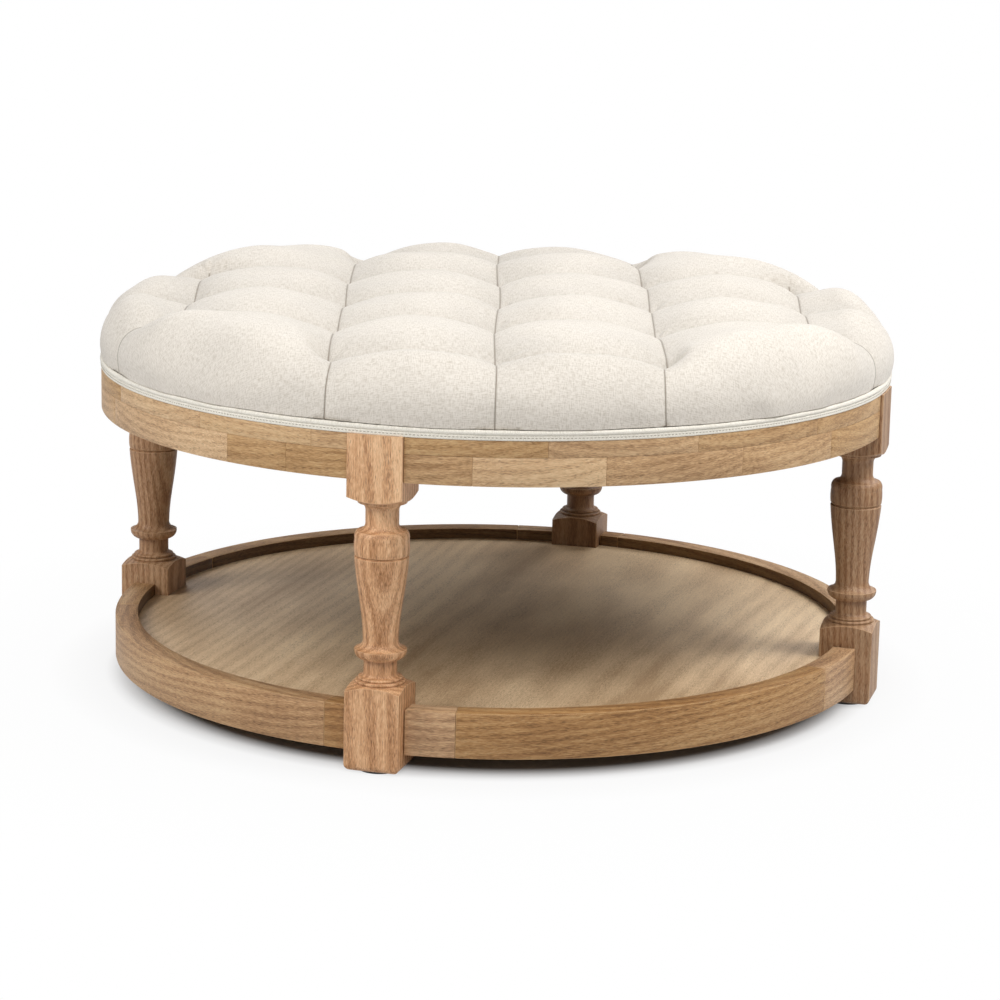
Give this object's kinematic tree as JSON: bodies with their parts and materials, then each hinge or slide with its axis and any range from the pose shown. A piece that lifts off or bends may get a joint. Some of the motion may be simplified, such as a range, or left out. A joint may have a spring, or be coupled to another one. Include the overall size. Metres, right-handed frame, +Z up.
{
  "type": "round ottoman coffee table",
  "caption": "Low round ottoman coffee table: tufted linen cushion with corded piping, laminated oak apron, turned legs and a rimmed round shelf below.",
  "frame": {"origin": "on the floor, under the middle of the round table", "axes": "+Z up; the legs stand on the diagonals, and the front leg is at -X -Y"},
  "size_m": [1.026, 1.026, 0.511],
  "materials": {
    "leg_oak": "matt lacquer over turned oak",
    "apron_oak": "matt lacquer over laminated oak",
    "rim_oak": "matt lacquer over bent oak",
    "panel_oak_veneer": "matt lacquer over oak veneer",
    "block_beech": "bare wood",
    "dowel_beech": "bare wood, ribbed and glued",
    "deck_plywood": "bare plywood",
    "cover_linen": "plain-weave linen",
    "piping_linen": "plain-weave linen cut on the bias",
    "wadding": "polyester wadding",
    "foam": "open-cell foam",
    "cotton_cord": "soft cotton cord",
    "twine": "waxed twine",
    "dust_cloth": "black spunbonded cloth",
    "washer_board": "moulded",
    "glide_plastic": "moulded",
    "fastener_steel": "zinc plated"
  },
  "bodies": {
    "root": {"apron_dowels": "dowel_beech", "apron_lower_back_left": "apron_oak", "apron_lower_back_right": "apron_oak", "apron_lower_front_left": "apron_oak", "apron_lower_front_right": "apron_oak", "apron_upper_back_left": "apron_oak", "apron_upper_back_right": "apron_oak", "apron_upper_front_left": "apron_oak", "apron_upper_front_right": "apron_oak", "corner_block_back": "block_beech", "corner_block_front": "block_beech", "corner_block_left": "block_beech", "corner_block_right": "block_beech", "corner_block_screws": "fastener_steel", "dust_cover": "dust_cloth", "glide_back": "glide_plastic", "glide_front": "glide_plastic", "glide_left": "glide_plastic", "glide_nails": "fastener_steel", "glide_right": "glide_plastic", "hanger_bolts": "fastener_steel", "hanger_nuts": "fastener_steel", "hanger_washers": "fastener_steel", "leg_back": "leg_oak", "leg_front": "leg_oak", "leg_left": "leg_oak", "leg_right": "leg_oak", "piping_cord": "cotton_cord", "piping_cover": "piping_linen", "rim_dowels": "dowel_beech", "seat_cover": "cover_linen", "seat_deck": "deck_plywood", "seat_foam": "foam", "seat_screws": "fastener_steel", "seat_staples": "fastener_steel", "seat_wadding": "wadding", "shelf_cleats": "block_beech", "shelf_panel": "panel_oak_veneer", "shelf_panel_screws": "fastener_steel", "shelf_rim_back_left": "rim_oak", "shelf_rim_back_right": "rim_oak", "shelf_rim_front_left": "rim_oak", "shelf_rim_front_right": "rim_oak", "shelf_rim_screws": "fastener_steel", "tuft_twine": "twine", "tuft_washers": "washer_board"}
  },
  "joints": []
}
